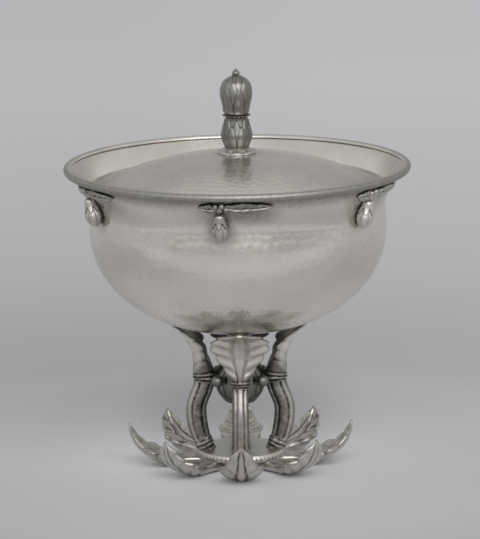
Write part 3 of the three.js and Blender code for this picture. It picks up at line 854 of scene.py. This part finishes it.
def on_flare(along, below, above):
    """A point by its distance along the lip, below it and off the sheet."""
    place = np.clip(1 - below / FLARE_LENGTH, 0, 1) * FLARE_LENGTH
    columns = (*FLARE.T, *tangents(FLARE).T)
    radius, height, down, out = (np.interp(place, lengths(FLARE), column) for column in columns)
    return polar(radius + out * above, along / radius, height - down * above)


def leaf_plan(start, end, half_width, lobes, bend, share, across):
    """Where a leaf's points lie between its two ends."""
    width = half_width * through([(0, 0.12), (0.14, 0.55), (0.42, 1), (0.72, 0.62), (1, 0.03)], share)
    width *= 0.8 + 0.2 * np.sin(math.pi * ((share * lobes) % 1) ** 0.7)
    run = np.array(end, float) - np.array(start, float)
    away = across * width + bend * np.sin(math.pi * share)
    length = np.linalg.norm(run)
    run /= length
    along = start[0] + run[0] * share * length - run[1] * away
    below = start[1] + run[1] * share * length + run[0] * away
    return along, below


def spray_leaf(start, end, half_width, lobes, relief, bend):
    """A veined leaf on the flare, and how dark it is."""
    share = np.linspace(0.004, 0.996, 84)[:, None]
    face, back = np.linspace(-1, 1, 33), np.linspace(1, -1, 11)[1:-1]
    across = np.concatenate([face, back])[None, :]
    top = (np.arange(across.size) < face.size)[None, :]
    along, below = leaf_plan(start, end, half_width, lobes, bend, share, across)
    body = np.sqrt(np.clip(1 - np.abs(across) ** 2.4, 0, 1))
    taper = relief * through([(0, 0.5), (0.3, 1), (0.75, 0.75), (1, 0.25)], share)
    veins = np.cos(TAU * (share * lobes - np.abs(across) * 0.55))
    height = taper * (0.72 * body + 0.28 * bump(across, 0, 0.09))
    height += 0.13 * taper * veins * body * (1 - bump(across, 0, 0.16))
    height -= 0.22 * taper * bump(np.abs(across), 0.2, 0.07)
    above = np.where(top, SOLDER_GAP + np.maximum(height, 0.12), SOLDER_GAP)
    # Oxide in the veins, and painted shade along the edges and over the back, where the leaf meets the
    # sheet
    dark = np.where(top, hollows(height, 5, relief * 0.12) + 0.6 * bump(np.abs(across), 1, 0.1), 0.8)
    return on_flare(along, below, above), np.clip(dark, 0, 1)


def berry(along, below, radius):
    """A ball where leaves meet, dark at its root."""
    middle = on_flare(along, below, BERRY_LIFT)
    grid = ball(middle, radius)
    return grid, 0.75 * np.clip(1 - np.linalg.norm(grid - middle * 1.02, axis=-1) / radius, 0, 1)


def build_sprays():
    parts = [*(spray_leaf(*row) for row in SPRAY_LEAVES), *(berry(*row) for row in BERRIES)]
    for k, age in enumerate(ORNAMENT_AGE):
        skins = [Skin(turned_by(grid, spray_turn(k)), dark + 0.35 * age) for grid, dark in parts]
        piece(f"leaf_spray_{k + 1}", skins, SPRAY, "bowl", f"rim_leaf_{k + 1}")
        build_bud(k, age)


def off_the_bowl(points):
    """Points moved out of the bowl's sheet."""
    radius = from_axis(points)
    least = outside_radius(points[..., 2]) + SOLDER_GAP
    scale = np.where(radius < least, least / np.maximum(radius, 1e-6), 1)
    return points * np.stack([scale, scale, np.ones_like(scale)], -1)


def build_bud(k, age):
    rows = [(0.42, 0.07), (0.55, 0.25), (0.88, 0.6), (0.52, 0.88)]
    sides = [(BUD_RADIUS * wide, -BUD_LENGTH * down) for wide, down in rows]
    outline = smooth([(0.15, 0), *sides, (0.12, -BUD_LENGTH)], 110)

    def husk(turn, share):
        folds = 0.42 * (np.abs(np.cos(turn * 3)) ** 0.8) * bump(share, 0.66, 0.3)
        return folds + 0.45 * (share < 0.36 + 0.09 * np.cos(turn * 6)) * ramp(share, 0, 0.08)

    grid, height = turned_relief(outline, 120, husk)
    top = on_flare(0.0, SPRAY_DROP + LEAF_HALF_HEIGHT, 0.0)
    lean = math.atan2(top[0] - NECK_RADIUS, BUD_LENGTH)
    x, y, z = np.moveaxis(grid, -1, 0)
    leaning_x = x * math.cos(lean) + z * math.sin(lean) + top[0] + BUD_RADIUS * 0.45
    leaning_z = z * math.cos(lean) - x * math.sin(lean) + top[2]
    grid = off_the_bowl(np.stack([leaning_x, y, leaning_z], -1))
    dark = np.clip(hollows(height, 6, 0.2) + 0.32 * age, 0, 1)
    skin = Skin(turned_by(grid, spray_turn(k)), dark)
    piece(f"hanging_bud_{k + 1}", [skin], BUD, "bowl", f"rim_bud_{k + 1}")


# Stand


def wrapped(radius, across, height):
    """A section bent round the Z axis."""
    return polar(radius, across / radius, height)


def cupped(radius, across, height):
    """A wide section with its edges lifted."""
    return np.stack([radius, across, height + LEAF_CUP * across**2], -1)


def squared(wave):
    """A circle's sine or cosine made into a soft-cornered square's."""
    return np.sign(wave) * np.abs(wave) ** (2 / CORNER_SOFTNESS)


def swept(path, rows, columns, width, depth, place):
    """A soft-cornered section swept along a path, with its share and angle."""
    path = evenly(path, rows)
    tangent = tangents(path)
    share = np.linspace(0, 1, rows)[:, None]
    angle = angles(columns)
    out = squared(np.cos(angle)) * depth(share) / 2
    across = squared(np.sin(angle)) * width(share) / 2
    radius = path[:, :1] + tangent[:, 1:] * out
    height = path[:, 1:] - tangent[:, :1] * out
    return place(radius, across, height), share, angle


def lobed(share, start, cut):
    """How far a leaf's edge is drawn in between its lobes."""
    teeth = ((share - start) / (1 - start) * LOBES) % 1
    return 1 - cut * ramp(share, start, start + 0.1) * (1 - np.sin(math.pi * teeth**0.7))


def leaf_veins(share, across, start, slant):
    """Waves that slant from the midrib out to each lobe."""
    return np.cos(TAU * ((share - start) / (1 - start) * LOBES - np.abs(across) * slant))


def leg_path():
    """The S-curve of a leg, from the base disc to its leaf's tip."""
    top = DISC_HIGH[2]
    tip_z = underside_height(LEAF_REACH) - LEAF_DEPTH / 4 - SOLDER_GAP
    slope = underside_height(LEAF_REACH) - underside_height(LEAF_REACH - 1)
    lower, middle, upper = BULGE_HEIGHT * 0.4, (WAIST_Z - BULGE_Z) * 0.4, (tip_z - WAIST_Z) / 4
    leaf = (LEAF_REACH - WAIST_RADIUS) * 0.66
    ankle = (ANKLE_RADIUS - LEG_SUNK / 2, top - LEG_SUNK)
    bulge, waist, tip = (BULGE_RADIUS, BULGE_Z), (WAIST_RADIUS, WAIST_Z), (LEAF_REACH, tip_z)
    first = [ankle, (ANKLE_RADIUS + lower / 3, top + lower / 2), (BULGE_RADIUS, BULGE_Z - lower), bulge]
    second = [bulge, (BULGE_RADIUS, BULGE_Z + middle), (WAIST_RADIUS, WAIST_Z - middle), waist]
    third = [waist, (WAIST_RADIUS, WAIST_Z + upper), (LEAF_REACH - leaf, tip_z - leaf * slope), tip]
    return np.vstack([bezier(first, 60), bezier(second, 60)[1:], bezier(third, 60)[1:]])


def leg_width(share):
    """Width of a leg, which opens into a lobed leaf."""
    ends = [(0.92, LEAF_WIDTH * 0.75), (1, LEAF_WIDTH * 0.1)]
    plain = through([(0, LEG_WIDTH), (0.52, LEG_WIDTH), (0.82, LEAF_WIDTH), *ends], share)
    return plain * lobed(share, LEG_LEAF_START, 0.16)


def leg_depth(share):
    """Depth of a leg, which thins to its leaf's tip."""
    ends = [(0.76, LEAF_DEPTH), (1, LEAF_DEPTH * 0.4)]
    return through([(0, ANKLE_DEPTH), (0.25, LEG_DEPTH), (0.55, LEG_DEPTH), *ends], share)


def leg_relief(share, angle, stem):
    """Flutes and rings on the stem, and the veins of the leaf."""
    across, outer = np.sin(angle), np.clip(np.cos(angle) * 2, 0, 1)
    flutes = -0.55 * (0.5 - 0.5 * np.cos(angle * 8)) ** 1.5 * stem
    flutes = flutes * ramp(share, 0.1, 0.12) * ramp(share, 0.51, 0.49)
    rings = 0.55 * (bump(share, 0.055, 0.009) + bump(share, 0.08, 0.009))
    rings += 0.8 * (bump(share, 0.53, 0.009) + 0.8 * bump(share, 0.556, 0.008))
    veins = leaf_veins(share, across, LEG_LEAF_START, 0.7) * (1 - bump(across, 0, 0.14))
    leaf = 0.5 * bump(across, 0, 0.07) - 0.35 * bump(np.abs(across), 0.16, 0.05)
    leaf = leaf + 0.28 * veins * bump(np.abs(across), 0.5, 0.45)
    return flutes + rings + leaf * (1 - stem) * outer * ramp(share, 0.985, 0.925)


def leg_shade(share, angle, stem, age):
    """Oxide on the stem and the leaf's edge, and painted shade on faces turned from outside, on the
    leaf's side towards the knop and in a band where the stem opens into the leaf.
    """
    leaf, outer = 1 - stem, np.clip(np.cos(angle) * 2, 0, 1)
    inner = np.clip(0.25 - np.cos(angle), 0, 1)
    # Painted shade: age sets how much of the stem's darkness reaches its foot
    painted_shade = age + (1 - age) * ramp(share, 0.14, 0.44)
    shade = stem * painted_shade * (0.42 + 0.3 * (1 - outer)) + leaf * (0.35 * inner + 0.36 * (1 - outer))
    shade += 0.35 * bump(share, 0.6, 0.1) * outer
    return shade + 0.15 * leaf * bump(np.abs(np.sin(angle)), 1, 0.12)


def under_the_bowl(points, gap):
    """Points moved down out of the bowl."""
    radius = from_axis(points)
    most = np.where(radius < BELLY_RADIUS * 0.8, underside_height(radius) - gap, np.inf)
    lowered = points.copy()
    lowered[..., 2] = np.minimum(points[..., 2], most)
    return lowered


def build_leg(side, degrees):
    grid, share, angle = swept(leg_path(), 190, 96, leg_width, leg_depth, wrapped)
    stem = ramp(share, 0.62, 0.54)
    height = leg_relief(share, angle, stem)
    dark = hollows(height, 6, CARVING_DEPTH) * (0.5 + 0.5 * stem)
    dark = np.clip(dark + leg_shade(share, angle, stem, STEM_FOOT_SHADE[side]), 0, 1)
    grid = under_the_bowl(raised(grid, height), SOLDER_GAP)
    grid[..., 2] = np.maximum(grid[..., 2], DISC_HIGH[2])
    piece(f"scroll_leg_{side}", [Skin(turned_by(grid, degrees), dark)], OXIDISED, "bowl", f"leg_{side}")


def base_leaf_path(heel, scale, lift):
    """The curve of a base leaf, flat on the table and then up."""
    middle = FOOT_DEPTH / 2 - FOOT_SINK + lift
    reach, top = FOOT_TIP_REACH * scale, FOOT_TIP_HEIGHT * scale
    run = reach - FOOT_CONTACT
    curl = [(FOOT_CONTACT, middle), (FOOT_CONTACT + run * 0.5, middle), (reach - run * 0.09, top * 0.4)]
    return np.vstack([[(heel, middle)], bezier([*curl, (reach, top)], 80)])


def base_leaf(name, node, degrees, heel, scale, lift, finish):
    """An upturned, veined leaf with its heel under the disc."""
    widest = FOOT_WIDTH * scale

    def width(share):
        ends = [(0, FOOT_HEEL_WIDTH), (0.28, FOOT_HEEL_WIDTH * 1.1)]
        plain = through([*ends, (0.6, widest), (0.85, widest * 0.6), (1, widest * 0.1)], share)
        return plain * lobed(share, FOOT_LEAF_START, 0.15)

    def depth(share):
        ends = [(0.75, FOOT_DEPTH * 0.65), (1, FOOT_DEPTH * 0.18)]
        return through([(0, FOOT_DEPTH), (0.45, FOOT_DEPTH), *ends], share)

    grid, share, angle = swept(base_leaf_path(heel, scale, lift), 170, 100, width, depth, cupped)
    across = np.sin(angle)
    leafy = ramp(share, FOOT_LEAF_START - 0.02, FOOT_LEAF_START + 0.06)
    veins = leaf_veins(share, across, FOOT_LEAF_START, 0.65) * (1 - bump(across, 0, 0.16))
    relief = 0.6 * bump(across, 0, 0.07) - 0.42 * bump(np.abs(across), 0.17, 0.055)
    relief = relief + 0.32 * veins * bump(np.abs(across), 0.5, 0.42)
    height = relief * leafy * ramp(share, 0.985, 0.925)
    grid = raised(grid, height)
    most = np.where(from_axis(grid) < DISC_RADIUS + SOLDER_GAP, DISC_LOW[2], np.inf)
    grid[..., 2] = np.clip(grid[..., 2], 0, most)
    edge = 0.3 * leafy * bump(np.abs(across), 1, 0.12)
    dark = np.clip(hollows(height, 6, CARVING_DEPTH) + edge, 0, 1)
    piece(name, [Skin(turned_by(grid, degrees), dark)], finish, "bowl", node)


def build_knop():
    widest = extent("waist_knop")[1][0]
    radius, end = widest - 0.5, (widest + ROD_BORE) / 2
    rows = [(end, 0), (radius * 0.92, 0.22), (radius, 0.5), (radius * 0.92, 0.78), (end, 1)]
    outline = smooth(stations("waist_knop", rows), 90)

    def lobes(turn, share):
        return 0.5 * np.abs(np.cos(turn * 6)) ** 0.8 * bump(share, 0.5, 0.4)

    carved("lobed_knop", outline, 192, lobes, SHADED_OXIDE, "bowl", "waist_knop", 6, 0.2)


def build_waist_balls():
    """The balls between the legs' waists, with painted shade towards the knop."""
    for k in range(len(SIDES)):
        node = f"waist_bead_{k + 1}"
        low, high = extent(node)
        radius = (high[2] - low[2]) / 2
        grid = ball((low + high) / 2, radius, 48)
        away = from_axis(grid)
        # Painted shade on the side towards the knop
        dark = np.clip(1.2 - (away - away.min()) / radius, 0, 1)
        piece(f"waist_ball_{k + 1}", [Skin(grid, dark)], SHADED_OXIDE, "bowl", node)


def build_disc():
    low, high, edge = DISC_LOW[2], DISC_HIGH[2], DISC_RADIUS - 0.35
    lower = [(ROD_BORE, low), (edge - 0.35, low), (edge, low + 0.9)]
    upper = [(edge, high - 1.3), (edge - 0.55, high), (ROD_BORE, high)]
    grid = revolve(eased(lower + upper, 0.35), RING_COLUMNS)
    at_edge = bump(grid[..., 2], (low + high) / 2 - 0.2, 0.9) * (from_axis(grid) > DISC_RADIUS - 1)
    height = 0.34 * np.abs(np.cos(angles(RING_COLUMNS) * 30)) ** 0.7 * at_edge
    skin = Skin(raised(grid, height, ring=True), hollows(height, 2, 0.12), ring=True)
    piece("beaded_disc", [skin], CAST, "bowl", "base_disc")


def build_boss():
    """The boss under the bowl, with a blind bore."""
    low, high = extent("bowl_boss")
    radius, foot, top = high[0], low[2], high[2]
    waist, blind = (radius + ROD_BORE) / 2, top - 2.5
    bore = [(POLE_RADIUS / 2, blind), (ROD_BORE, blind), (ROD_BORE, foot)]
    side = spline([(waist, foot), (waist, (foot + top) / 2), (radius, top)], 24)
    outline = np.vstack([bore, side, [(POLE_RADIUS / 2, top)]])
    grid = under_the_bowl(revolve(outline, 96), 0)
    piece("turned_boss", [Skin(grid)], CAST, "bowl", "bowl_boss")


def build_stand():
    for side, degrees in SIDES.items():
        build_leg(side, degrees)
        base_leaf(f"leaf_foot_{side}", f"foot_{side}", degrees, *FOOT_LEAF, CAST)
    for k, degrees in enumerate(SIDES.values()):
        base_leaf(f"small_leaf_{k + 1}", f"base_leaf_{k + 1}", degrees + 45, *BETWEEN_LEAF, PALE)
    build_knop()
    build_waist_balls()
    build_disc()
    build_boss()


# Floor, lights and camera

FLOOR_REACH = 6.0
FLOOR_FAR = 2.0
FLOOR_BLUE = 1.025
POOL_MIDDLE = (-0.01, 0.028, 0.0)

# Tone of the floor by distance from the middle of its painted pool of light, with a band of painted
# shade further out, each (distance, tone)
FLOOR_TONES = [
    *((0.0, 0.98), (0.04, 0.86), (0.055, 0.76), (0.066, 0.71), (0.08, 0.655)),
    *((0.097, 0.62), (0.115, 0.595), (0.14, 0.57), (0.17, 0.555), (0.2, 0.51)),
    *((0.27, 0.495), (0.36, 0.525), (0.46, 0.57), (0.62, 0.61), (1.1, 0.71)),
]

# Painted light and shade that multiply it: darker to the left and right, a painted glow just in front
# and darker further in front; each (axis, first place, last place, first tone, last tone)
FLOOR_SHADES = {
    "left": ("X", -0.09, 0.07, 0.96, 1.0),
    "right": ("X", 0.2, 0.5, 1.0, 0.93),
    "near": ("Y", -0.15, -0.22, 1.0, 1.3),
    "front": ("Y", -0.26, -0.55, 1.0, 0.6),
    "far_front": ("Y", -0.6, -1.4, 1.0, 0.45),
}

# Edges of the painted shadow behind the stand and of the sky's parts, each (first place, last place,
# values)
BEHIND_SIDES = (0.03, 0.06, 1.0, 0.0)
BEHIND_BEGINS = (0.03, 0.08, 0.0, 0.2)
BEHIND_ENDS = (0.12, 0.24, 1.0, 0.0)
FRONT_RISE = (0.1, 0.4, 0.62, 1.1)
FRONT_EDGE = (-0.55, -0.1, 1.0, 0.0)
SIDE_EDGE = (0.35, 0.65, 0.0, 0.62)
SIDE_FOOT = (0.06, 0.2, 0.0, 1.0)
TOP_EDGE = (0.6, 0.8, 0.0, 1.0)
HORIZON_EDGE = (0.03, 0.16, 1.0, 0.0)
HORIZON_BACK = (-0.3, 0.2, 0.0, 1.0)
SKY_BACK = 0.36
SKY_TOP = 0.55
SKY_HORIZON = 0.5
SKY_BLUE = 1.01

LIGHT_PLACE = (0.5, -2.1, 1.8)
LIGHT_AIM = (0, 0, 0.1)

CAMERA_PLACE = (0, -2.219, 0.547)
CAMERA_AIM = (0.0007, 0, 0.0958)
CAMERA_ROLL = 0.8


def floor_shade(nodes, x, y):
    """Painted light and shade on the floor: to the sides, in front, and a painted shadow behind the
    stand.
    """
    # Painted shadow behind the stand
    narrow = nodes.spread(nodes.math("ABSOLUTE", x), *BEHIND_SIDES)
    begins = nodes.spread(y, *BEHIND_BEGINS)
    behind = nodes.times(narrow, begins, nodes.spread(y, *BEHIND_ENDS))
    places = {"X": x, "Y": y}
    shades = [nodes.spread(places[axis], *fade) for axis, *fade in FLOOR_SHADES.values()]
    return nodes.times(*shades, nodes.math("SUBTRACT", 1.0, behind))


def floor_paper():
    """Pale paper with a painted pool of light under the object and a soft band of painted shade round
    it.
    """
    material, nodes, shader = new_material("studio_paper")
    where, x, y, _ = nodes.place()
    apart = nodes.vector("SUBTRACT", where, POOL_MIDDLE).outputs[0]
    away = nodes.vector("LENGTH", apart).outputs["Value"]
    tones = nodes.add("ShaderNodeValToRGB", {0: nodes.math("DIVIDE", away, FLOOR_FAR)})
    elements = tones.color_ramp.elements
    while len(elements) < len(FLOOR_TONES):
        elements.new(0.5)
    for element, (place, tone) in zip(elements, FLOOR_TONES):
        element.position = place / FLOOR_FAR
        element.color = (tone, tone, tone * FLOOR_BLUE, 1)
    shaded = nodes.vector("MULTIPLY", tones.outputs[0], floor_shade(nodes, x, y))
    nodes.fill(shader, {"Base Color": shaded.outputs[0], "Roughness": 0.9})
    return material


def build_floor():
    mesh = bpy.data.meshes.new("studio_floor")
    corners = [(x * FLOOR_REACH, y * FLOOR_REACH, 0) for x, y in ((-1, -1), (1, -1), (1, 1), (-1, 1))]
    mesh.from_pydata(corners, [], [[0, 1, 2, 3]])
    mesh.materials.append(floor_paper())
    added("studio_floor", mesh)


def build_light():
    light = bpy.data.lights.new("front_softbox", "AREA")
    light.shape = "DISK"
    light.size = 2.6
    light.energy = 26
    lamp = added("front_softbox", light)
    lamp.location = LIGHT_PLACE
    towards = Vector(LIGHT_AIM) - Vector(LIGHT_PLACE)
    lamp.rotation_euler = towards.to_track_quat("-Z", "Y").to_euler()


def build_world():
    """A pale sky, bright in front and greyer low at the back."""
    world = bpy.data.worlds.new("studio")
    bpy.context.scene.world = world
    world.use_nodes = True
    nodes = Nodes(world.node_tree)
    where = nodes.add("ShaderNodeTexCoord").outputs["Generated"]
    x, y, z = nodes.add("ShaderNodeSeparateXYZ", {0: where}).outputs
    front = nodes.spread(z, *FRONT_RISE)
    side = nodes.blend(nodes.spread(y, *FRONT_EDGE), SKY_BACK, front)
    sideways = nodes.spread(nodes.math("ABSOLUTE", x), *SIDE_EDGE)
    walls = nodes.times(sideways, nodes.spread(z, *SIDE_FOOT))
    around = nodes.math("MAXIMUM", side, walls)
    arch = nodes.blend(nodes.spread(z, *TOP_EDGE), around, SKY_TOP)
    horizon = nodes.spread(z, *HORIZON_EDGE)
    behind = nodes.spread(y, *HORIZON_BACK)
    tone = nodes.blend(nodes.times(horizon, behind), arch, SKY_HORIZON)
    colour = nodes.add("ShaderNodeCombineXYZ", {0: tone, 1: tone, 2: nodes.times(tone, SKY_BLUE)})
    nodes.fill(world.node_tree.nodes["Background"], {"Color": colour.outputs[0], "Strength": 1.0})


def build_camera():
    """The camera, at the photo's height and distance."""
    data = bpy.data.cameras.new("camera")
    data.sensor_width = 36
    data.lens = 315.7
    data.clip_end = 50
    camera = added("camera", data)
    camera.location = CAMERA_PLACE
    towards = Vector(CAMERA_AIM) - Vector(CAMERA_PLACE)
    turn = towards.to_track_quat("-Z", "Y").to_matrix().to_4x4()
    roll = Matrix.Rotation(-math.radians(CAMERA_ROLL), 4, "Z")
    camera.rotation_euler = (turn @ roll).to_euler()
    bpy.context.scene.camera = camera


build_bowl()
build_rim_wire()
build_lid_seat()
build_lid_wire()
build_lid_bezel()
build_dome()
build_finial_base()
build_lower_bud()
build_collar()
build_upper_bud()
build_tip()
build_fasteners()
build_sprays()
build_stand()
build_floor()
build_light()
build_world()
build_camera()
bpy.context.scene.view_settings.view_transform = "Standard"
